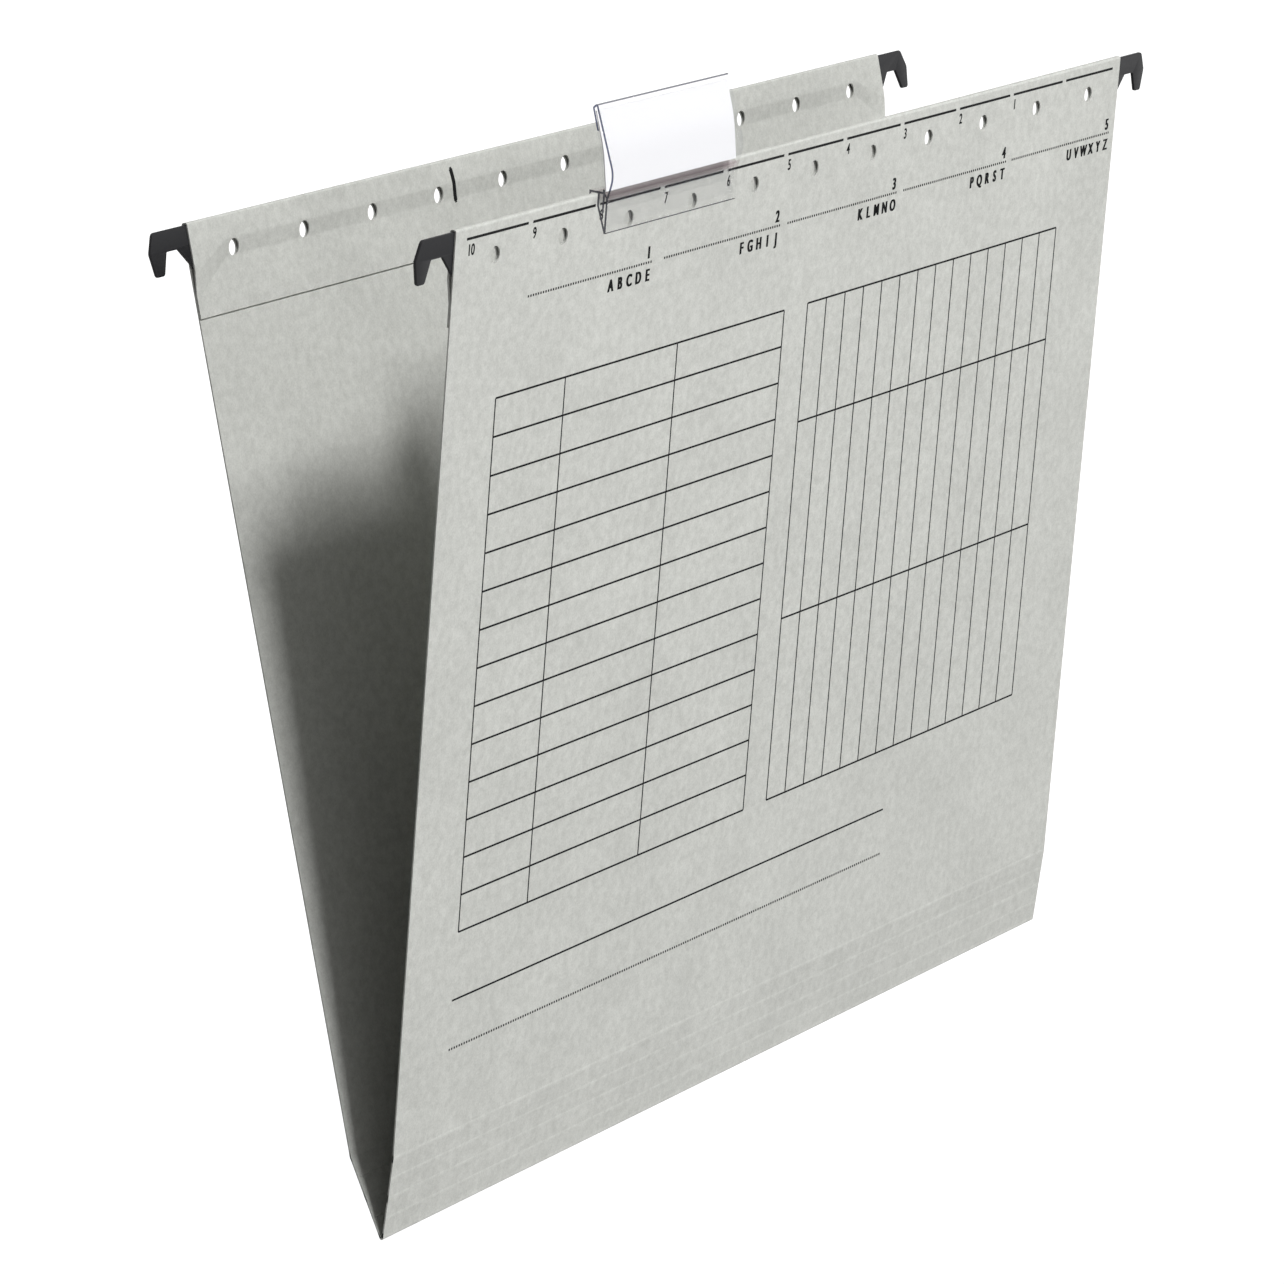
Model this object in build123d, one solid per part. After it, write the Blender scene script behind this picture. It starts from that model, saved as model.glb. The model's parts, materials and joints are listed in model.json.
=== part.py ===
"""A hanging file folder for A4 papers.

One scored sheet of recycled card makes a back leaf, a front leaf and the narrow base strips between them.
Each leaf's top edge is turned in and glued down as a hem, and a flat steel rail with a hook at each end
lies in that hem. A clear plastic tab with a paper label clips over the front leaf.

Frame: X runs along the rails, -Y is the printed front, +Z is up. The origin is midway between the four
hook seats, so it lies on the line from which the folder hangs.
"""

import os
from math import atan2, degrees

from build123d import *

# The sheet of card
sheet_width = 318.0
leaf_height = 240.0  # from the bottom fold to the top edge
card = 0.35  # thickness of the card

# The score lines across the base, counted from the bottom fold
score_pitch = 5.0
scores_to_step = 2  # the score between the base strip and the step strip above it
scores_to_leaf = 4  # the score between the step strip and the leaf
crease_gap = 0.1  # slit left between two strips at a crease
fold_gap = 0.3  # room between the two inner faces at the bottom fold when it is shut
score_width = 0.5
score_cut = 0.1

# The resting pose
opening_angle = 16.45  # between the two leaves
back_base_lean = 12.5  # how far the back's two base strips lean out of line with their leaf
front_base_lean = 4.0

# The hem along the top of each leaf
flap_depth = 22.3
hem_bend_radius = 0.45
hem_ease_radius = 4.0  # where the flap bends towards its leaf and straight again
hem_taper = 4.0  # height over which the flap runs in below the rail
end_taper = 5.6  # the same at the hem's open ends, below the tangs
end_straight = 2.0  # from the sheet's side edge, where the flap gapes fully
end_flare = 13.5  # from the sheet's side edge, where the flap lies close again
glue_thickness = 0.1
glue_height = 4.0
glue_margin = 1.0

# The punched row of holes in each hem
hole_pitch = 28.45
hole_margin = 12.0  # least distance from a hole's centre to the sheet's side edge
hole_diameter = 4.0
hole_depth = 8.0  # hole centres below the top edge

# The rail and its hooks, measured out from the sheet's side edge and down from the rail's top
rail_thickness = 0.8
rail_height = 5.0
rail_clearance = 0.05
rail_top_gap = 0.15
hook_top_reach = 12.9
hook_reach = 15.0
hook_reach_drop = 4.6
nose_drop = 10.2
nose_reach = 13.9
nose_width = 3.0
notch_reach = 4.2
notch_width = 4.6
tang_drop = 10.6
tang_inset = 1.0
tang_length = 9.0
hook_corner_radius = 1.4
nose_radius = 0.9
notch_radius = 0.4
tang_radius = 1.0

# The clear tab: a bent sleeve with a gripping foot, out from the leaf's face and up from its top edge
tab_length = 58.0
tab_pitches = -2.5  # the tab's middle, in hole pitches from the middle of the row
tab_wall = 0.5
tab_seat_gap = 0.1
head_height = 21.0
head_lean = 1.75  # how far the head's front edge leans behind the leaf's face
head_depth = 1.25  # thickness of the head across its top
head_drop = 1.3  # rear top corner below the front one
belly_out = 4.3
belly_height = 4.6
neck_front_out = 2.9
neck_drop = 1.3
neck_rear_out = 1.5
neck_rise = 0.2
back_wall_height = 10.3
back_wall_out = 0.0
belly_radius = 8.0
back_wall_radius = 30.0
head_radius = 0.6
neck_radius = 0.5
leg_root_drop = 0.5  # where the leg's front wall leaves the neck
leg_drop = 9.0
leg_knee_drop = 2.8
tongue_drop = 4.2
lug_gap = 0.15
lug_drop = 1.4

# The paper label inside the tab
label_thickness = 0.25
label_gap = 0.12
label_bottom = 0.8
label_top_gap = 2.0  # from the label's top edge up to the head

# One overrun for every cut
overrun = 5.0

# Sizes worked out from the ones above
step_crease = scores_to_step * score_pitch
leaf_crease = scores_to_leaf * score_pitch
half_card = card / 2
half_gap = crease_gap / 2
half_width = sheet_width / 2
pocket = rail_thickness + 2 * rail_clearance
hem_spread = card + pocket  # between the middles of the leaf and its flap
hem_thickness = hem_spread + card
rail_top = leaf_height - card - rail_top_gap
rail_middle = half_card + pocket / 2  # the rail's middle, in from the card's middle
seat_height = rail_top - rail_height
hole_count = 1 + int((sheet_width - 2 * hole_margin) / hole_pitch)
tab_place = tab_pitches * hole_pitch
label_height = head_height - label_top_gap - label_bottom
glued_spread = card + glue_thickness
flap_top = (rail_top + seat_height) / 2  # the hem is the same along its whole length down to here
rail_straight = leaf_height - seat_height + 2 * rail_top_gap
tang_straight = leaf_height - rail_top + tang_drop + rail_top_gap


def across(section, length=sheet_width):
    """A section drawn in Y and Z, run along X for a length about the middle."""
    return extrude(Plane.YZ * section, amount=length / 2, both=True)


def band(line, width):
    """A flat band of one width along a bent line."""
    return make_face(trace(line, line_width=width).face().outer_wire())


# The front half is drawn standing up: its outside faces -Y and its bottom fold is at height zero.


def base_strip(bottom, top):
    """A flat strip of card between two creases, with a score line pressed half-way up its inner face."""
    middle = (bottom + top) / 2
    score = Polyline(
        (half_card, middle - score_width / 2),
        (half_card - score_cut, middle),
        (half_card, middle + score_width / 2),
        close=True,
    )
    strip = Pos(0, middle) * Rectangle(card, top - bottom - crease_gap)
    return across(strip - make_face(score))


def flap_section(straight, taper):
    """The flap below the rail in section: straight to a depth, then run in to lie close to its leaf."""
    line = [
        (hem_spread, flap_top),
        (hem_spread, leaf_height - straight),
        (glued_spread, leaf_height - straight - taper),
        (glued_spread, leaf_height - flap_depth),
    ]
    return band(FilletPolyline(*line, radius=hem_ease_radius), card)


def flap_end():
    """The flap at the sheet's right end, where it gapes round the tang of the hook."""
    close = Plane.YZ.offset(half_width - end_flare) * flap_section(rail_straight, hem_taper)
    wide = Plane.YZ.offset(half_width - end_straight) * flap_section(tang_straight, end_taper)
    return loft([close, wide], ruled=True) + extrude(wide, amount=end_straight, dir=(1, 0, 0))


def leaf_with_hem():
    """The leaf, its turned-in hem flap and the row of punched holes, as one sheet of card."""
    top = leaf_height - half_card
    line = [(0, leaf_crease + half_gap), (0, top), (hem_spread, top), (hem_spread, flap_top)]
    sheet = across(band(FilletPolyline(*line, radius=hem_bend_radius), card))
    sheet += across(flap_section(rail_straight, hem_taper), sheet_width - 2 * end_flare)
    sheet += [flap_end(), mirror(flap_end(), about=Plane.YZ)]
    punch = Cylinder(hole_diameter / 2, hem_thickness + overrun, rotation=(90, 0, 0))
    row = Pos(0, 0, leaf_height - hole_depth) * GridLocations(hole_pitch, 0, hole_count, 1)
    return sheet - [place * punch for place in row]


def hem_glue():
    """The line of glue that holds the flap to the inside of its leaf."""
    bottom = leaf_height - flap_depth + glue_margin
    section = Pos(half_card + glue_thickness / 2, bottom + glue_height / 2)
    return across(section * Rectangle(glue_thickness, glue_height), sheet_width - 2 * glue_margin)


def rail_with_hooks():
    """A flat steel strip that widens at each end into a hook, with a tang that braces it in the hem."""
    outline = [
        (hook_top_reach, 0, hook_corner_radius),
        (hook_reach, hook_reach_drop, hook_corner_radius),
        (nose_reach, nose_drop, nose_radius),
        (nose_reach - nose_width, nose_drop, nose_radius),
        (notch_reach + notch_width, rail_height, notch_radius),
        (notch_reach, rail_height, notch_radius),
        (-tang_inset, tang_drop, tang_radius),
        (-tang_inset - tang_length, rail_height, tang_radius),
    ]
    right = [(half_width + out, rail_top - drop) for out, drop, _ in outline]
    left = [(-x, z) for x, z in reversed(right)]
    radii = [radius for _, _, radius in outline]
    blank = make_face(FilletPolyline(*right, *left, radius=radii + radii[::-1], close=True))
    plate = extrude(Plane.XZ * blank, amount=rail_thickness / 2, both=True)
    return Pos(0, rail_middle, 0) * plate


def tab_at(out, up):
    """A point of the tab's section: out from the leaf's face and up from its top edge."""
    return (-half_card - out, leaf_height + up)


def sleeve_rear():
    """The outer line of the sleeve's rear wall, from the head down to the neck."""
    return [
        tab_at(-head_lean - head_depth, head_height - head_drop),
        tab_at(back_wall_out, back_wall_height),
        tab_at(neck_rear_out, neck_rise),
    ]


def tab():
    """The clear tab: a closed sleeve for the label, a lug over the hem and a sprung leg down the front."""
    sleeve_line = [
        tab_at(neck_front_out, -neck_drop),
        tab_at(belly_out, belly_height),
        tab_at(-head_lean, head_height),
        *sleeve_rear(),
    ]
    sleeve_radii = [neck_radius, belly_radius, head_radius, head_radius, back_wall_radius, neck_radius]
    outside = make_face(FilletPolyline(*sleeve_line, radius=sleeve_radii, close=True))
    section = outside - offset(outside, -tab_wall)
    half_wall = tab_wall / 2
    arm_up = tab_seat_gap + half_wall
    arm_out = neck_rear_out + half_wall
    lug_out = -hem_thickness - lug_gap - half_wall
    spring_out = tab_seat_gap + half_wall
    shank_out = neck_front_out - half_wall
    toe = tab_at(shank_out, -leg_drop)
    lug_line = [tab_at(arm_out, arm_up), tab_at(lug_out, arm_up), tab_at(lug_out, -lug_drop)]
    shank_line = [tab_at(shank_out, -leg_root_drop), toe]
    spring_line = [tab_at(spring_out, arm_up), tab_at(spring_out, -leg_knee_drop), toe]
    tongue_line = [tab_at(arm_out, arm_up), tab_at(arm_out, -tongue_drop)]
    for line in (lug_line, shank_line, spring_line, tongue_line):
        section += band(Polyline(*line), tab_wall)
    return Pos(tab_place, 0, 0) * across(section, tab_length)


def label():
    """The paper label, as long as the sleeve and bent to lie along the inside of its rear wall."""
    rear = FilletPolyline(*sleeve_rear(), radius=back_wall_radius)
    inset = tab_wall + label_gap + label_thickness / 2
    line = rear.offset_2d(inset, kind=Kind.INTERSECTION, side=Side.RIGHT, closed=False)
    reach = Pos(*tab_at(0, label_bottom + label_height / 2)) * Rectangle(2 * head_height, label_height)
    section = band(line, label_thickness) & reach
    return Pos(tab_place, 0, 0) * across(section, tab_length)


def turned(y, z, angle):
    """A turn about the line along X through a point."""
    return Pos(0, y, z) * Rot(angle, 0, 0) * Pos(0, -y, -z)


# Each crease turns about the face on the inside of its bend. The back half is the front half mirrored.
fold_offset = half_card + fold_gap / 2
base_angle = opening_angle + back_base_lean + front_base_lean
front_base_place = Rot(base_angle, 0, 0) * Pos(0, -fold_offset, 0)
front_leaf_place = front_base_place * turned(half_card, leaf_crease, -front_base_lean)
back_base_place = Pos(0, fold_offset, 0)
back_leaf_place = back_base_place * turned(-half_card, leaf_crease, back_base_lean)

# The folder hangs with both rails level, and the origin is midway between their hook seats.
front_seat = (front_leaf_place * Pos(0, rail_middle, seat_height)).position
back_seat = (back_leaf_place * Pos(0, -rail_middle, seat_height)).position
seat_span = back_seat - front_seat
hang = Rot(-degrees(atan2(seat_span.Z, seat_span.Y)), 0, 0) * Pos(-(front_seat + back_seat) / 2)

front_pieces = {
    "front_leaf": (leaf_with_hem(), front_leaf_place),
    "front_hem_glue": (hem_glue(), front_leaf_place),
    "front_rail": (rail_with_hooks(), front_leaf_place),
    "front_step_strip": (base_strip(step_crease, leaf_crease), front_base_place),
    "front_base_strip": (base_strip(0, step_crease), front_base_place),
    "tab_sleeve": (tab(), front_leaf_place),
    "tab_label": (label(), front_leaf_place),
}
back_pieces = {
    "back_leaf": (leaf_with_hem(), back_leaf_place),
    "back_hem_glue": (hem_glue(), back_leaf_place),
    "back_rail": (rail_with_hooks(), back_leaf_place),
    "back_step_strip": (base_strip(step_crease, leaf_crease), back_base_place),
    "back_base_strip": (base_strip(0, step_crease), back_base_place),
}

os.makedirs("parts", exist_ok=True)
for name, (piece, place) in front_pieces.items():
    export_step(hang * place * piece, f"parts/{name}.step")
for name, (piece, place) in back_pieces.items():
    export_step(hang * place * mirror(piece, about=Plane.XZ), f"parts/{name}.step")
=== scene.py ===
# %% [markdown]
# # A hanging file folder
#
# The folder is one scored sheet of grey card that hangs from two flat black rails, with a clear tab clipped
# over its front rail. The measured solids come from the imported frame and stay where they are. This lesson
# gives each of them its finish, closes the sheet at its creases, prints the form on the front and lights it.

# %% Load the frame
import json
from math import cos, pi, radians, sin

import bmesh
import bpy
from mathutils import Matrix, Vector


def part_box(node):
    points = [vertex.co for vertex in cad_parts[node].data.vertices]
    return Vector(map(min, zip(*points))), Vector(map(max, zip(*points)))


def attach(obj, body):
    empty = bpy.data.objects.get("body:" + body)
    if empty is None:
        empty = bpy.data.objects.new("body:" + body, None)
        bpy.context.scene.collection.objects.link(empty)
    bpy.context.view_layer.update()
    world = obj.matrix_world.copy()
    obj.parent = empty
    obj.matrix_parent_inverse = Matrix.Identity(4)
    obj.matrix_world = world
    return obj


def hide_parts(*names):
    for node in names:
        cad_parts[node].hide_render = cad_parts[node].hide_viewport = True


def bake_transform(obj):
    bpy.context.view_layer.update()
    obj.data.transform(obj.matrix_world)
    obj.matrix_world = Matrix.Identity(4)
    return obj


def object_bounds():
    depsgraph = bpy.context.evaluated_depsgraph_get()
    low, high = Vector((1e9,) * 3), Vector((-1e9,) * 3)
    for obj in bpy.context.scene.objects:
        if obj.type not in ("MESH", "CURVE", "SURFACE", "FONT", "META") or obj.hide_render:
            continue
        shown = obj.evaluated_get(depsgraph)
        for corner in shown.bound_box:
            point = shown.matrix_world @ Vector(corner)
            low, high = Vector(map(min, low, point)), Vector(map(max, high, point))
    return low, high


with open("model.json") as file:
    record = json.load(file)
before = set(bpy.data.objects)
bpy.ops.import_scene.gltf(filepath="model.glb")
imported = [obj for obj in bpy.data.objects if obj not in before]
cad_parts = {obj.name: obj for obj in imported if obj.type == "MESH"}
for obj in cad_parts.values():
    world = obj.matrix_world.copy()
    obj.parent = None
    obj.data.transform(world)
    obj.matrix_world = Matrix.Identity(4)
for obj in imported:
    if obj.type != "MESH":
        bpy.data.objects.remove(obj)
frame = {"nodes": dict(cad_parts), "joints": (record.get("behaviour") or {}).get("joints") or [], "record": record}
cad_low, cad_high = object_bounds()
mm = 0.001
print("solids:", ", ".join(sorted(frame["nodes"])))

# %% [markdown]
# ## Where the two leaves are
#
# Everything printed or pressed on the card lies on a leaning leaf. Points could be turned by hand one by one,
# but the frame already knows the leaves: the tab slides along the front leaf, the hooks stand on their seats
# along each leaf, and every crease has its pivot on a face of the card. So a leaf gets three directions: along
# the rail, up the card and out of it. One function turns sizes read off the card into places.

# %% The directions and places of the sheet
joint = {item["name"]: item for item in frame["joints"]}
pivot = {name: Vector(item["pos_m"]) for name, item in joint.items() if "pos_m" in item}
mount = {item["name"]: item for item in frame["record"]["mounts"]}

along = Vector((1, 0, 0))
front_up = Vector(joint["tab_pull"]["axis"])
front_out = along.cross(front_up)
back_up = -Vector(mount["back_left_hook_seat"]["axis"])
back_out = back_up.cross(along)

card = 0.35 * mm
leaf_height = 240 * mm
score_pitch = 5 * mm
leaf_crease = 4 * score_pitch
half_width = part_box("front_leaf")[1].x
front_lean, back_lean = radians(4), radians(12.5)
front_base = Matrix.Rotation(front_lean, 3, along)
back_base = Matrix.Rotation(-back_lean, 3, along)
front_base_up, front_base_out = front_base @ front_up, front_base @ front_out
back_base_up, back_base_out = back_base @ back_up, back_base @ back_out
opening = front_base_up.angle(back_base_up)


def on_front(x, depth, out=0.0):
    """A point on the front leaf: along the rail, down from the top edge and out from the printed face."""
    rise = leaf_height - leaf_crease - depth
    return pivot["front_step_crease"] + along * x + front_up * rise + front_out * (card + out)


between = front_up.angle(back_up) / radians(1)
print(f"the leaves are {2 * half_width / mm:.0f} mm wide and stand {between:.1f} degrees apart")
print(f"below their creases the strips stand {opening / radians(1):.1f} degrees apart")

# %% [markdown]
# ## Small tools for colours and materials
#
# Colours are read as sRGB hex values, and Blender's shaders want linear light, so one function turns
# them. Another adds a shader node with its settings, values and links in one line, which keeps each material
# readable as a recipe. Ink, paper and glue are all a fine mottle of two colours, so they share one function.


# %% Colour and material helpers
def linear(hex_colour):
    """An sRGB hex colour as the linear colour that shaders use."""
    parts = [int(hex_colour[i:i + 2], 16) / 255 for i in (1, 3, 5)]
    return [c / 12.92 if c <= 0.04045 else ((c + 0.055) / 1.055) ** 2.4 for c in parts] + [1.0]


def add(tree, kind, values=None, links=None, **settings):
    """Adds a shader node: settings are its own fields, values fill its sockets and links feed them."""
    node = tree.nodes.new("ShaderNode" + kind)
    for field, value in settings.items():
        setattr(node, field, value)
    for socket, value in (values or {}).items():
        node.inputs[socket].default_value = value
    for socket, source in (links or {}).items():
        tree.links.new(source, node.inputs[socket])
    return node


def new_material(name, **values):
    """A material with one Principled shader, its node tree and that shader."""
    material = bpy.data.materials.new(name)
    material.use_nodes = True
    shader = material.node_tree.nodes["Principled BSDF"]
    for socket, value in values.items():
        shader.inputs[socket.replace("_", " ")].default_value = value
    return material, material.node_tree, shader


def mottled(name, dark, pale, grain, **values):
    """A material with a fine mottle between two colours, as coarse as its grain."""
    material, tree, shader = new_material(name, **values)
    place = add(tree, "TexCoord").outputs["Object"]
    noise = add(tree, "TexNoise", {"Scale": 1 / grain, "Detail": 2.0}, {"Vector": place})
    colours = {"A": linear(dark), "B": linear(pale)}
    blend = add(tree, "Mix", colours, {"Factor": noise.outputs["Fac"]}, data_type="RGBA")
    tree.links.new(blend.outputs["Result"], shader.inputs["Base Color"])
    return material


# %% [markdown]
# ## Small tools for meshes
#
# The pieces that the solids don't have are made from plain lists of points and faces. Modifiers could smooth
# them later, but here each mesh is final at once: round places are shaded smooth, and corners stay sharp.


# %% Mesh helpers
def new_piece(name, points, faces, material):
    """A mesh piece with outward normals, smooth where it is round and sharp at its corners."""
    mesh = bpy.data.meshes.new(name)
    mesh.from_pydata([tuple(p) for p in points], [], faces)
    return dressed_piece(name, mesh, material)


def dressed_piece(name, mesh, material, sharp=40):
    """Puts a mesh into the scene as a piece with its material, with corners kept sharp from an angle on."""
    shaped = bmesh.new()
    shaped.from_mesh(mesh)
    bmesh.ops.recalc_face_normals(shaped, faces=shaped.faces)
    for face in shaped.faces:
        face.smooth = True
    for edge in shaped.edges:
        edge.smooth = edge.calc_face_angle(pi) < radians(sharp)
    shaped.to_mesh(mesh)
    shaped.free()
    piece = bpy.data.objects.new(name, mesh)
    bpy.context.scene.collection.objects.link(piece)
    piece.data.materials.clear()
    piece.data.materials.append(material)
    return piece


def dress_nodes(material, *names):
    """Gives measured solids their material."""
    for name in names:
        mesh = frame["nodes"][name].data
        mesh.materials.clear()
        mesh.materials.append(material)


# %% [markdown]
# ## Grey recycled card
#
# The sheet is kraft board made from sorted waste paper and pressed smooth between rollers. Its pulp is grey
# with paler and darker fibres, so up close the colour is a fine mottle, with slow clouds where the pulp ran
# thicker. It is almost matt. A photograph of card would be the quick way, but three noises at real sizes give
# the same mottle at any distance: fibres, clumps of them and the slow clouds. Single fibres are only a few
# hundredths of a millimetre wide, too fine to show, so they are drawn about ten times as wide.

# %% The card material
fibre_width = 0.45 * mm
clump_width = 2.2 * mm
cloud_width = 26 * mm
tooth_depth = 0.02 * mm


def recycled_card(name, pale, dark):
    """Grey board: a fibre mottle between two greys, slow clouds and a fine tooth."""
    material, tree, shader = new_material(name, Roughness=0.88, Specular_IOR_Level=0.25)
    place = add(tree, "TexCoord").outputs["Object"]
    fibres = add(tree, "TexNoise", {"Scale": 1 / fibre_width, "Detail": 2.0}, {"Vector": place})
    clumps = add(tree, "TexNoise", {"Scale": 1 / clump_width, "Detail": 3.0}, {"Vector": place})
    clouds = add(tree, "TexNoise", {"Scale": 1 / cloud_width, "Detail": 2.0}, {"Vector": place})
    pulp = add(tree, "Math", links={0: fibres.outputs["Fac"], 1: clumps.outputs["Fac"]}, operation="ADD")
    share = add(tree, "MapRange", {"From Min": 0.7, "From Max": 1.3}, {"Value": pulp.outputs[0]})
    colours = {"A": linear(dark), "B": linear(pale)}
    mottle = add(tree, "Mix", colours, {"Factor": share.outputs["Result"]}, data_type="RGBA")
    drift = add(tree, "MapRange", {"To Min": 0.92, "To Max": 1.08}, {"Value": clouds.outputs["Fac"]})
    clouded = {"Color": mottle.outputs["Result"], "Value": drift.outputs["Result"]}
    tone = add(tree, "HueSaturation", links=clouded)
    tooth = add(tree, "Bump", {"Strength": 0.35, "Distance": tooth_depth}, {"Height": fibres.outputs["Fac"]})
    tree.links.new(tone.outputs["Color"], shader.inputs["Base Color"])
    tree.links.new(tooth.outputs["Normal"], shader.inputs["Normal"])
    return material


grey_card = recycled_card("grey recycled board, calendered", "#D2D3CE", "#BEBFBA")
creased_card = recycled_card("grey recycled board, fibres raised at a crease", "#D6D7D2", "#C3C4BF")
halves = ("front", "back")
panels = ("leaf", "step_strip", "base_strip")
dress_nodes(grey_card, *[f"{half}_{panel}" for half in halves for panel in panels])
print("card on the leaves and the base strips")

# %% [markdown]
# ## Creases closed at rest
#
# The measured sheet is cut into stiff panels so that it can fold. On the real folder the card runs on through
# each crease, and its fibres stand up there as a low bead. A modifier could round the panels' edges, but then
# the slits would open as the sheet bends. So each crease gets a narrow band of card, shaped for the sheet at
# rest: it follows the panel below it at one edge, the panel above it at the other, and turns smoothly in between.

# %% Bands of card along the rail
bead_height = 0.02 * mm
sunk = 0.012 * mm
band_reach = 0.9 * mm
band_steps = 12
half_card = card / 2


def band_along(name, outer, inner, material, slot):
    """A band of card between two lines across the sheet, run from one side edge to the other."""
    count = len(outer)
    points = [along * side + p for side in (-half_width, half_width) for p in (*outer, *inner)]
    ring = [*range(count), *range(2 * count - 1, count - 1, -1)]
    faces = [(a, b, b + 2 * count, a + 2 * count) for a, b in zip(ring, ring[1:] + ring[:1])]
    for start in (0, 2 * count):
        for a in range(start, start + count - 1):
            faces.append((a, a + 1, a + count + 1, a + count))
    return new_piece(name, points, faces, material)


def bead(share):
    """How far a band stands out of the card: sunk in at its edges and highest in the middle."""
    return (bead_height + sunk) * cos(share * pi / 2) ** 2 - sunk


def crease_band(crease, up, out, bend, pivot_side):
    """A band across one crease, bent as the sheet is bent there at rest."""
    lines = []
    for side in (1, -1):
        line = []
        for step in range(band_steps + 1):
            share = 2 * step / band_steps - 1
            turn = (share + 1) / 2
            turn = turn * turn * (3 - 2 * turn)
            level = side * (half_card + bead(share)) - pivot_side * half_card
            reach = Matrix.Rotation(bend * turn, 3, along) @ (up * share * band_reach + out * level)
            line.append(pivot[crease] + reach)
        lines.append(line)
    piece = band_along(f"{crease}_band", *lines, creased_card, "grey_card")
    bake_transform(piece)


crease_band("front_base_crease", front_base_up, front_base_out, 0, 1)
crease_band("front_step_crease", front_base_up, front_base_out, -front_lean, -1)
crease_band("back_base_crease", back_base_up, back_base_out, 0, 1)
crease_band("back_step_crease", back_base_up, back_base_out, back_lean, -1)
print("four crease bands")

# %% [markdown]
# The bottom fold is the tightest bend of the sheet: the card turns right round with almost no gap inside. A
# plain edge would look like cut card, so this band follows a small arc from the back strip to the front one.

# %% The bottom fold
fold_gap_radius = 0.15 * mm
fold_middle_radius = half_card + fold_gap_radius
fold_steps = 16
fold_reach = 1.2 * mm
fold = pivot["bottom_fold"]
round_turn = opening - pi


def fold_line(side):
    """The outer or inner face of the card round the bottom fold, from the back strip to the front strip."""
    radius = fold_middle_radius + side * half_card
    run = [(fold_reach, -sunk), (fold_reach / 2, bead(0.5)), (0, bead(0))]
    line = [fold + back_base_up * s + back_base_out * (radius + side * lift) for s, lift in run]
    for step in range(1, fold_steps):
        turn = Matrix.Rotation(round_turn * step / fold_steps, 3, along)
        line.append(fold + turn @ back_base_out * (radius + side * bead(0)))
    run.reverse()
    line += [fold + front_base_up * s + front_base_out * (radius + side * lift) for s, lift in run]
    return line


fold_band = band_along("bottom_fold_band", fold_line(1), fold_line(-1), creased_card, "grey_card")
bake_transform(fold_band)
outer_face = fold_middle_radius + half_card
print(f"the bottom fold is rounded with a radius of {outer_face / mm:.2f} mm outside")

# %% [markdown]
# Half-way up each strip runs one more pressed score line, for a base of another width. Inside it is a groove
# in the solid. Outside it shows as a low rib, so a thin lens of card stands on that face.

# %% Score ribs
rib_reach = 0.45 * mm
rib_height = 0.02 * mm
rib_steps = 6


def score_rib(body, middle, up, out):
    """A low rib of card along a score line, on the outer face of its strip."""
    shares = [2 * i / rib_steps - 1 for i in range(rib_steps + 1)]
    crest = [middle + up * s * rib_reach + out * (rib_height * (1 - s * s)) for s in shares]
    foot = [middle + up * s * rib_reach - out * sunk for s in shares]
    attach(band_along(f"{body}_score_rib", crest, foot, creased_card, "grey_card"), body)


for half, up, out in (("front", front_base_up, front_base_out), ("back", back_base_up, back_base_out)):
    for strip, score in (("base", 1), ("step", 3)):
        score_rib(f"{half}_{strip}", fold + up * score * score_pitch + out * outer_face, up, out)
print("four score ribs")

# %% [markdown]
# ## The printed form
#
# The front is printed in one black: a scale with numbers along the rail, five index lines, two ruled tables
# and two writing lines. Offset ink soaks into board and dries to a flat black, a little thinner in places.
# Print could be a pattern in the card's shader, but then it would blur with the card's own noise. Here every
# rule is a thin raised bar of ink, so it stays sharp at any distance and moves with the leaf.

# %% Printing ink and ruled lines
ink_height = 0.015 * mm
ink_grain = 0.3 * mm
ink_name = "black offset ink, dried on board"
ink = mottled(ink_name, "#0A0A0B", "#1C1C1D", ink_grain, Roughness=0.7, Specular_IOR_Level=0.12)


def ruled(name, bars, surface=on_front, body="front_half"):
    """One piece of print: bars of ink, each from one point of the card to another, with a width."""
    points, faces = [], []
    for (x0, d0), (x1, d1), width in bars:
        length = ((x1 - x0) ** 2 + (d1 - d0) ** 2) ** 0.5
        across_x = (d1 - d0) / length * width / 2
        across_d = (x0 - x1) / length * width / 2
        corners = [(x0 + across_x, d0 + across_d), (x1 + across_x, d1 + across_d)]
        corners += [(x1 - across_x, d1 - across_d), (x0 - across_x, d0 - across_d)]
        first = len(points)
        for out in (-ink_height, ink_height):
            points += [surface(x * mm, d * mm, out) for x, d in corners]
        faces += [tuple(first + i for i in face) for face in ((0, 1, 2, 3), (4, 5, 6, 7))]
        faces += [(first + i, first + (i + 1) % 4, first + 4 + (i + 1) % 4, first + 4 + i) for i in range(4)]
    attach(new_piece(name, points, faces, ink), body)


dot, dot_pitch = 0.56, 1.06


def dotted(x0, x1, depth):
    """A dotted rule as a row of short bars."""
    places = [x1 - i * dot_pitch for i in range(int((x1 - x0) / dot_pitch) + 1)]
    return [((x - dot / 2, depth), (x + dot / 2, depth), dot) for x in places]


# %% [markdown]
# The two tables are equal, nearly square and parted into fourteen, one ruled across and one ruled down, each
# with two long divisions. Sizes are in millimetres on the card, with x from its middle and depth from its top
# edge.

# %% The two tables and the writing lines
column, row, parts = 9.2, 9.12, 14
table_top = 42.0
left_table, right_table = -137.8, 2.3
left_divisions, right_divisions = (29.5, 79.0), (30.0, 80.4)
table_width, table_height = column * parts, row * parts
table_bottom = table_top + table_height
rule = 0.48

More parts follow.
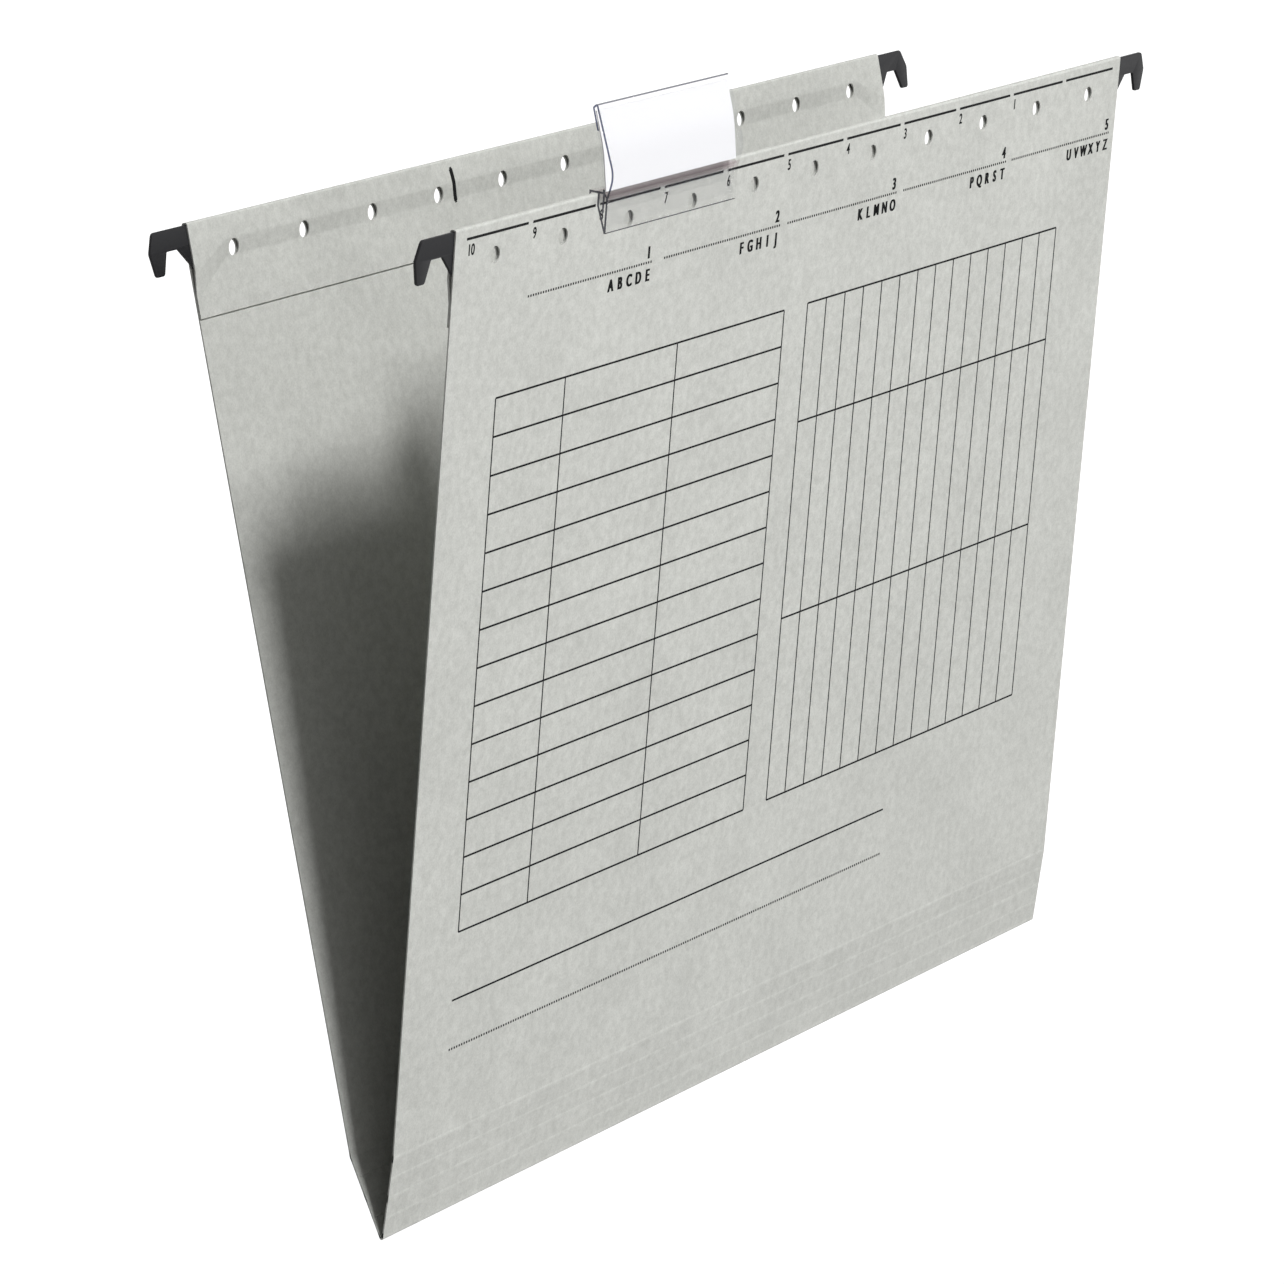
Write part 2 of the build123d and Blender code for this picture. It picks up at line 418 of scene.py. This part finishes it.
across_lines = [table_top + i * row for i in range(parts + 1)]
left_sides = [left_table + x for x in (0, *left_divisions, table_width)]
ruled(
    "left_table_print",
    [((left_table, d), (left_table + table_width, d), rule) for d in across_lines]
    + [((x, table_top), (x, table_bottom), rule) for x in left_sides],
)
down_lines = [right_table + i * column for i in range(parts + 1)]
right_depths = [table_top + d for d in (0, *right_divisions, table_height)]
ruled(
    "right_table_print",
    [((x, table_top), (x, table_bottom), rule) for x in down_lines]
    + [((right_table, d), (right_table + table_width, d), rule) for d in right_depths],
)

line_left, line_right = -138.5, 64.3
solid_depth, dotted_depth = 186.4, 198.6
solid_line = [((line_left, solid_depth), (line_right, solid_depth), rule)]
ruled("writing_lines_print", solid_line + dotted(line_left, line_right, dotted_depth))
print(f"tables of {table_width:.0f} by {table_height:.0f} mm, parted into {parts}")

# %% [markdown]
# Along the rail a heavy line is broken half-way between the punched holes, where a tab can sit. The places
# are numbered. Below it stand five index lines, which carry plain numbers and the alphabet in its own order.

# %% The scale and the index lines
hole_pitch = 28.45
gap_places = [(i + 0.5) * hole_pitch for i in range(-5, 5)]
scale_depth, scale_width, scale_gap = 2.7, 0.62, 1.9
scale_left, scale_right = -154.4, 155.0
starts = [scale_left] + [x + scale_gap / 2 for x in gap_places]
stops = [x - scale_gap / 2 for x in gap_places] + [scale_right]
ruled("scale_print", [((a, scale_depth), (b, scale_depth), scale_width) for a, b in zip(starts, stops)])

index_depth, index_length = 20.0, 53.4
index_ends = (-73.9, -14.8, 42.3, 99.3, 155.9)
index_dots = [dotted(x - index_length, x, index_depth) for x in index_ends]
ruled("index_lines_print", sum(index_dots, []))
print(f"a scale of {len(starts)} parts and {len(index_ends)} index lines")

# %% [markdown]
# Numbers and letters could be drawn as bars too, but a font already has their outlines. Each one is set as a
# text curve, made narrow, and struck a few times side by side, which gives it the weight of the print. Then
# all of them are gathered into one mesh on the leaf.

# %% Numbers and letters
cap_share = 0.73
narrow_share = 0.8
boldness_share = 0.014
light_strikes, bold_strikes = (-0.08, 0.08), (-0.24, -0.08, 0.08, 0.24)


def printed_letters(name, letters, strikes):
    """One piece of print: each letter is a text, its place, the depth of its foot and its height."""
    gathered = bmesh.new()
    struck = [(*letter, shift) for letter in letters for shift in strikes]
    for text, x, depth, height, shift in struck:
        curve = bpy.data.curves.new(name, "FONT")
        curve.body = text
        curve.align_x = "CENTER"
        curve.size = height / cap_share * mm
        curve.offset = boldness_share * curve.size
        curve.extrude = ink_height
        curve.resolution_u = 4
        writing = bpy.data.objects.new(name, curve)
        bpy.context.scene.collection.objects.link(writing)
        shape = writing.to_mesh()
        turn = Matrix((along * narrow_share, front_up, front_out)).transposed().to_4x4()
        shape.transform(Matrix.Translation(on_front((x + shift) * mm, depth * mm)) @ turn)
        gathered.from_mesh(shape)
        writing.to_mesh_clear()
        bpy.data.objects.remove(writing)
    mesh = bpy.data.meshes.new(name)
    gathered.to_mesh(mesh)
    gathered.free()
    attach(dressed_piece(name, mesh, ink), "front_half")


number_height, number_foot, number_shift = 2.7, 6.6, 1.9
ten_place = -152.4
number_places = [ten_place] + [x + number_shift for x in gap_places[:9]]
scale_numbers = [(str(10 - i), x, number_foot, number_height) for i, x in enumerate(number_places)]
printed_letters("scale_numbers_print", scale_numbers, light_strikes)

index_words = ("ABCDE", "FGHIJ", "KLMNO", "PQRST", "UVWXYZ")
above_foot, below_foot = 19.0, 24.45
letter_height, letter_pitch, end_inset = 3.0, 4.05, 1.2
index_marks = [(str(i + 1), x - end_inset, above_foot, letter_height) for i, x in enumerate(index_ends)]
for word, end in zip(index_words, index_ends):
    places = [end - end_inset - i * letter_pitch for i in range(len(word))]
    index_marks += [(t, x, below_foot, letter_height) for t, x in zip(reversed(word), places)]
printed_letters("index_words_print", index_marks, bold_strikes)
print(len(scale_numbers), "numbers on the scale and", len(index_marks), "marks on the index lines")

# %% [markdown]
# A single stroke of ink stands on the back hem's inner flap, where a tab lines up. It is the only print
# inside. The flap bends below the rail, so the stroke is a row of short bars that follow it, thinner at both
# ends.

# %% The stroke on the back hem
flap_bends = ((5.8 * mm, 1.25 * mm), (9.8 * mm, 0.45 * mm))
stroke_width, stroke_end_width = 1.4, 0.84
stroke_start, stroke_end = Vector((-50.8, 2.1)), Vector((-49.5, 10.8))
stroke_shares = (0.0, 0.05, 0.37, 0.425, 0.48, 0.83, 0.95, 1.0)


def on_back_flap(x, depth, out=0.0):
    """A point on the inner face of the back hem's flap, which runs in towards its leaf below the rail."""
    (high, wide), (low, close) = flap_bends
    share = min(max((depth - high) / (low - high), 0), 1)
    level = wide + (close - wide) * share
    rise = leaf_height - leaf_crease - depth
    return pivot["back_step_crease"] + along * x + back_up * rise - back_out * (level + 2 * out)


stroke = [stroke_start.lerp(stroke_end, share) for share in stroke_shares]
widths = [stroke_end_width] + [stroke_width] * (len(stroke) - 3) + [stroke_end_width]
ruled("hem_stroke_print", list(zip(stroke, stroke[1:], widths)), on_back_flap, "back_half")
print(f"a stroke of {(stroke_end - stroke_start).length:.1f} mm on the back hem")

# %% [markdown]
# ## Black rails
#
# Each rail is stamped from flat steel strip and dipped in black lacquer. Stamping rolls the edges a little,
# and that thin round is what catches the light along the hooks, so the rails are shown by copies of their
# solids with bevelled edges. The lacquer is satin, with a faint orange-peel.

# %% The lacquered rails
peel_width, peel_depth = 0.6 * mm, 0.02 * mm
lacquer, lacquer_tree, lacquer_shader = new_material(
    "black lacquer on stamped steel", Base_Color=linear("#202022"), Specular_IOR_Level=0.2
)
place = add(lacquer_tree, "TexCoord").outputs["Object"]
peel = add(lacquer_tree, "TexNoise", {"Scale": 1 / peel_width, "Detail": 1.0}, {"Vector": place})
wave = add(lacquer_tree, "Bump", {"Strength": 0.25, "Distance": peel_depth}, {"Height": peel.outputs["Fac"]})
sheen = add(lacquer_tree, "MapRange", {"To Min": 0.46, "To Max": 0.6}, {"Value": peel.outputs["Fac"]})
lacquer_tree.links.new(wave.outputs["Normal"], lacquer_shader.inputs["Normal"])
lacquer_tree.links.new(sheen.outputs["Result"], lacquer_shader.inputs["Roughness"])

rolled_edge = 0.14 * mm
weld_gap = 0.001 * mm
flat_angle, rim_angle = radians(1), radians(60)
for half in halves:
    rolled = bmesh.new()
    rolled.from_mesh(frame["nodes"][f"{half}_rail"].data)
    bmesh.ops.remove_doubles(rolled, verts=rolled.verts, dist=weld_gap)
    bmesh.ops.dissolve_limit(rolled, angle_limit=flat_angle, verts=rolled.verts, edges=rolled.edges)
    rims = [edge for edge in rolled.edges if edge.calc_face_angle(0) > rim_angle]
    bmesh.ops.bevel(rolled, geom=rims, offset=rolled_edge, segments=2, affect="EDGES", profile=0.5)
    mesh = bpy.data.meshes.new(f"{half}_rail_lacquered")
    rolled.to_mesh(mesh)
    rolled.free()
    rail = dressed_piece(f"{half}_rail_lacquered", mesh, lacquer, sharp=25)
    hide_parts(f"{half}_rail")
    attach(rail, f"{half}_half")
    print(rail.name, "has", len(mesh.polygons), "faces")

# %% [markdown]
# ## The clear tab
#
# The tab is cut from an extruded profile of clear hard plastic. Through its walls the card and the label show
# almost unchanged, and the tight bends at the neck, the toe and the crown bend the light away and show as
# darker lines. Glass alone would turn milky in a white studio, because six walls lie behind one another and
# each mirrors it. So a wall is a clear film, and its darker lines are painted shade: a grey tint at each bend,
# found by its height above the leaf's top edge. The pale tint at the neck stands for the shade seen through it.

# %% The clear walls
top_edge = on_front(0, 0).dot(front_up)
crown_level = max(v.co.dot(front_up) for v in frame["nodes"]["tab_sleeve"].data.vertices) - top_edge
# Painted shade at the bends: each bend's height above the top edge, its reach and the grey that darkens it.
bends = (
    (-0.45 * mm, 0.9 * mm, "#F9F6F7"),
    (-9.25 * mm, 0.3 * mm, "#84848A"),
    (crown_level, 0.2 * mm, "#8C8C92"),
)
clear, clear_tree, clear_shader = new_material(
    "clear hard plastic, extruded and sawn", Roughness=0.05, IOR=1.49, Specular_IOR_Level=0.12,
    Transmission_Weight=0.25,
)
place = add(clear_tree, "TexCoord").outputs["Object"]
rise = add(clear_tree, "VectorMath", {1: front_up}, {0: place}, operation="DOT_PRODUCT")
height = add(clear_tree, "Math", {1: top_edge}, {0: rise.outputs["Value"]}, operation="SUBTRACT")
bend_shade = None
for level, reach, colour in bends:
    mask = add(clear_tree, "Math", {1: level, 2: reach}, {0: height.outputs[0]}, operation="COMPARE")
    links = {"Factor": mask.outputs[0]}
    if bend_shade:
        links["A"] = bend_shade.outputs["Result"]
    bend_shade = add(clear_tree, "Mix", {"A": linear("#FFFFFF"), "B": linear(colour)}, links, data_type="RGBA")
film = add(clear_tree, "BsdfTransparent", links={"Color": bend_shade.outputs["Result"]})
print(f"the sleeve stands {crown_level / mm:.1f} mm above the top edge of the front leaf")

# %% [markdown]
# The sawn ends gather the light of the tab's whole length and look blue-grey, darker on the leg. They could
# be pieces of their own, but the shader knows them by their direction. Only an end that faces the eye is solid
# plastic. Behind the label it takes the paper's white, so there it is clear like the walls.

# %% The sawn ends
dark_end_level = 1.2 * mm
crown_end = 6.0 * mm
end_facing = 0.9
label_face = max(frame["nodes"]["tab_label"].data.polygons, key=lambda face: face.area)
label_out = label_face.normal * (1 if label_face.normal.dot(front_out) > 0 else -1)
reach_out = add(clear_tree, "VectorMath", {1: label_out}, {0: place}, operation="DOT_PRODUCT")
label_level = {1: label_face.center.dot(label_out)}
behind = add(clear_tree, "Math", label_level, {0: reach_out.outputs["Value"]}, operation="LESS_THAN")
low = add(clear_tree, "Math", {1: dark_end_level}, {0: height.outputs[0]}, operation="LESS_THAN")
end_colours = {"A": linear("#6A7090"), "B": linear("#5C5C64")}
ends = add(clear_tree, "Mix", end_colours, {"Factor": low.outputs[0]}, data_type="RGBA")
clear_tree.links.new(ends.outputs["Result"], clear_shader.inputs["Base Color"])

skin = add(clear_tree, "NewGeometry")
facing = add(clear_tree, "SeparateXYZ", links={0: skin.outputs["True Normal"]})
endwise = add(clear_tree, "Math", links={0: facing.outputs["X"]}, operation="ABSOLUTE")
end = add(clear_tree, "Math", {1: end_facing}, {0: endwise.outputs[0]}, operation="GREATER_THAN")
screen_middle = (dark_end_level + crown_level - crown_end) / 2
screen = {1: screen_middle, 2: screen_middle - dark_end_level}
beside = add(clear_tree, "Math", screen, {0: height.outputs[0]}, operation="COMPARE")
both = {0: behind.outputs[0], 1: beside.outputs[0]}
screened = add(clear_tree, "Math", links=both, operation="MULTIPLY")
either = {0: skin.outputs["Backfacing"], 1: screened.outputs[0]}
unseen = add(clear_tree, "Math", links=either, operation="MAXIMUM")
near_end = {0: end.outputs[0], 1: unseen.outputs[0]}
sawn = add(clear_tree, "Math", links=near_end, operation="SUBTRACT", use_clamp=True)

# %% [markdown]
# Film and solid plastic now share the surface by that mask, and a few parts in a hundred of every wall stay
# solid for its gloss. A lamp's ray can only pass a few clear walls before it counts as blocked, which would
# leave a dark band at the neck, so light that goes to the card or comes from it passes the tab unhindered.

# %% Walls and ends in one plastic
film_share = 0.96
walls = add(clear_tree, "MapRange", {"To Min": film_share, "To Max": 0.0}, {"Value": sawn.outputs[0]})
shaders = {0: walls.outputs["Result"], 1: clear_shader.outputs[0], 2: film.outputs[0]}
plastic = add(clear_tree, "MixShader", links=shaders)
clear_tree.links.new(plastic.outputs[0], clear_tree.nodes["Material Output"].inputs["Surface"])
dress_nodes(clear, "tab_sleeve")
sleeve = frame["nodes"]["tab_sleeve"]
sleeve.visible_shadow = sleeve.visible_diffuse = False
print(f"{film_share:.0%} of a wall is clear film")

# %% [markdown]
# ## White label and glue
#
# The label is white copy paper, matt and a little uneven where its fibres felted. The glue inside the hems is
# dried starch, pale amber with a crust. Both are whole solids already, so they only need their finish.

# %% The label and the glue
felt_grain, crust_grain = 0.5 * mm, 1.5 * mm
paper = mottled("white copy paper", "#EEEEF0", "#F4F4F6", felt_grain, Roughness=0.8, Specular_IOR_Level=0.3)
dress_nodes(paper, "tab_label")
glue = mottled("dried starch glue", "#B9AE90", "#D2C9AE", crust_grain, Roughness=0.5)
dress_nodes(glue, "front_hem_glue", "back_hem_glue")
print("paper on the label and glue in the hems")

# %% [markdown]
# ## Floor and world
#
# The folder hangs free above a plain pale floor, so high that its front half has room to swing right down.
# The world adds a little light from everywhere. A bright world would give the white ground too, but it would
# also fill the shade inside the folder. So the rays that come from the eye, straight or by way of a mirror or
# a clear wall, see floor and world white, and all others see them dim. The floor keeps its shadow.

# %% The floor
floor_size = 40.0
hanging_room = 0.32
floor_glow = 1.2
shadow_reach, white_reach, shadow_white = 0.4, 1.6, 0.6


def seen_directly(tree):
    """A socket that is 1 for a ray from the eye, straight or by way of a mirror or a clear wall."""
    path = add(tree, "LightPath")
    total = path.outputs["Is Camera Ray"]
    for kind in ("Is Glossy Ray", "Is Transmission Ray"):
        total = add(tree, "Math", links={0: total, 1: path.outputs[kind]}).outputs[0]
    return total


floor_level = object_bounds()[0].z - hanging_room
bpy.ops.mesh.primitive_plane_add(size=floor_size, location=(0, 0, floor_level))
floor = bpy.context.object
floor.name = "floor"
pale, pale_tree, pale_shader = new_material("pale studio floor", Base_Color=linear("#D2D2D2"), Roughness=0.9)
glow = add(pale_tree, "Emission", {"Strength": floor_glow})
place = add(pale_tree, "TexCoord").outputs["Object"]
away = add(pale_tree, "VectorMath", links={0: place}, operation="LENGTH")
# Near the middle, under the folder, the glow is weaker and the floor a little darker: painted shade round the
# folder, in which its real shadow still shows.
fading = {"From Min": shadow_reach, "From Max": white_reach, "To Min": shadow_white, "To Max": 1.0}
fade = add(pale_tree, "MapRange", fading, {"Value": away.outputs["Value"]})
shown = {0: seen_directly(pale_tree), 1: fade.outputs["Result"]}
lift = add(pale_tree, "Math", links=shown, operation="MULTIPLY")
shaders = {0: lift.outputs[0], 1: pale_shader.outputs[0], 2: glow.outputs[0]}
mixed = add(pale_tree, "MixShader", links=shaders)
pale_tree.links.new(mixed.outputs[0], pale_tree.nodes["Material Output"].inputs["Surface"])
floor.data.materials.append(pale)
print(f"the floor lies {hanging_room:.2f} m below the fold")

# %% The world
ambient = 0.08
world = bpy.data.worlds.new("studio")
bpy.context.scene.world = world
world.use_nodes = True
air = world.node_tree
level = add(air, "MapRange", {"To Min": ambient, "To Max": 1.0}, {"Value": seen_directly(air)})
sky = air.nodes["Background"]
sky.inputs["Color"].default_value = linear("#FFFFFF")
air.links.new(level.outputs["Result"], sky.inputs["Strength"])
print(f"the world gives {ambient:.0%} of its white as light")

# %% [markdown]
# ## Lamps
#
# One small lamp would cut hard shadows, and a ring of large ones would leave none. Two soft lamps from the
# front and above light the printed face and reach over the front leaf onto the top of the back one, while the
# lower inside stays in shade. A weak low one evens out the printed face, and one behind lights the back.

# %% The lamps
centre = (cad_low + cad_high) / 2
lamp_distance = 2.2


def soft_lamp(name, turn, height, width, tall, power):
    """A soft lamp that looks at the middle of the folder, turned from the front and raised, in degrees."""
    data = bpy.data.lights.new(name, "AREA")
    data.shape = "RECTANGLE"
    data.size = width
    data.size_y = tall
    data.energy = power
    lamp = bpy.data.objects.new(name, data)
    bpy.context.scene.collection.objects.link(lamp)
    raised = Vector((0, -cos(radians(height)), sin(radians(height))))
    towards = Matrix.Rotation(radians(turn), 3, "Z") @ raised
    lamp.location = centre + towards * lamp_distance
    lamp.rotation_euler = towards.to_track_quat("Z", "Y").to_euler()
    print(f"{name}: {power} W")


soft_lamp("front_lamp", turn=-11, height=47.5, width=0.34, tall=0.42, power=30)
soft_lamp("right_lamp", turn=26, height=48, width=0.27, tall=0.27, power=16)
soft_lamp("low_lamp", turn=8, height=4, width=0.4, tall=0.4, power=7)
soft_lamp("rear_lamp", turn=165, height=8, width=0.6, tall=0.6, power=32)

# %% [markdown]
# ## Camera
#
# The camera stands where the photograph was taken from: to the left of the printed front, a little above it,
# far away with a long lens, rolled by a few degrees. Lens and place were found from the corners of the sheet.
# Aiming it at a target would lose the roll, so its directions to the right and upward are written out.

# %% The camera
sensor, lens = 36, 177.597
standpoint = Vector((-1.31692, -0.81548, 0.19038))
right = Vector((0.52542, -0.84887, -0.05796))
upward = Vector((0.19780, 0.05561, 0.97866))

camera_data = bpy.data.cameras.new("camera")
camera_data.sensor_width = sensor
camera_data.lens = lens
camera_data.clip_end = 100
camera = bpy.data.objects.new("camera", camera_data)
bpy.context.scene.collection.objects.link(camera)
turned = Matrix((right, upward, right.cross(upward))).transposed().to_4x4()
camera.matrix_world = Matrix.Translation(standpoint) @ turned
bpy.context.scene.camera = camera
bpy.context.scene.view_settings.view_transform = "Standard"
print(f"the camera stands {(standpoint - centre).length:.2f} m from the middle of the folder")
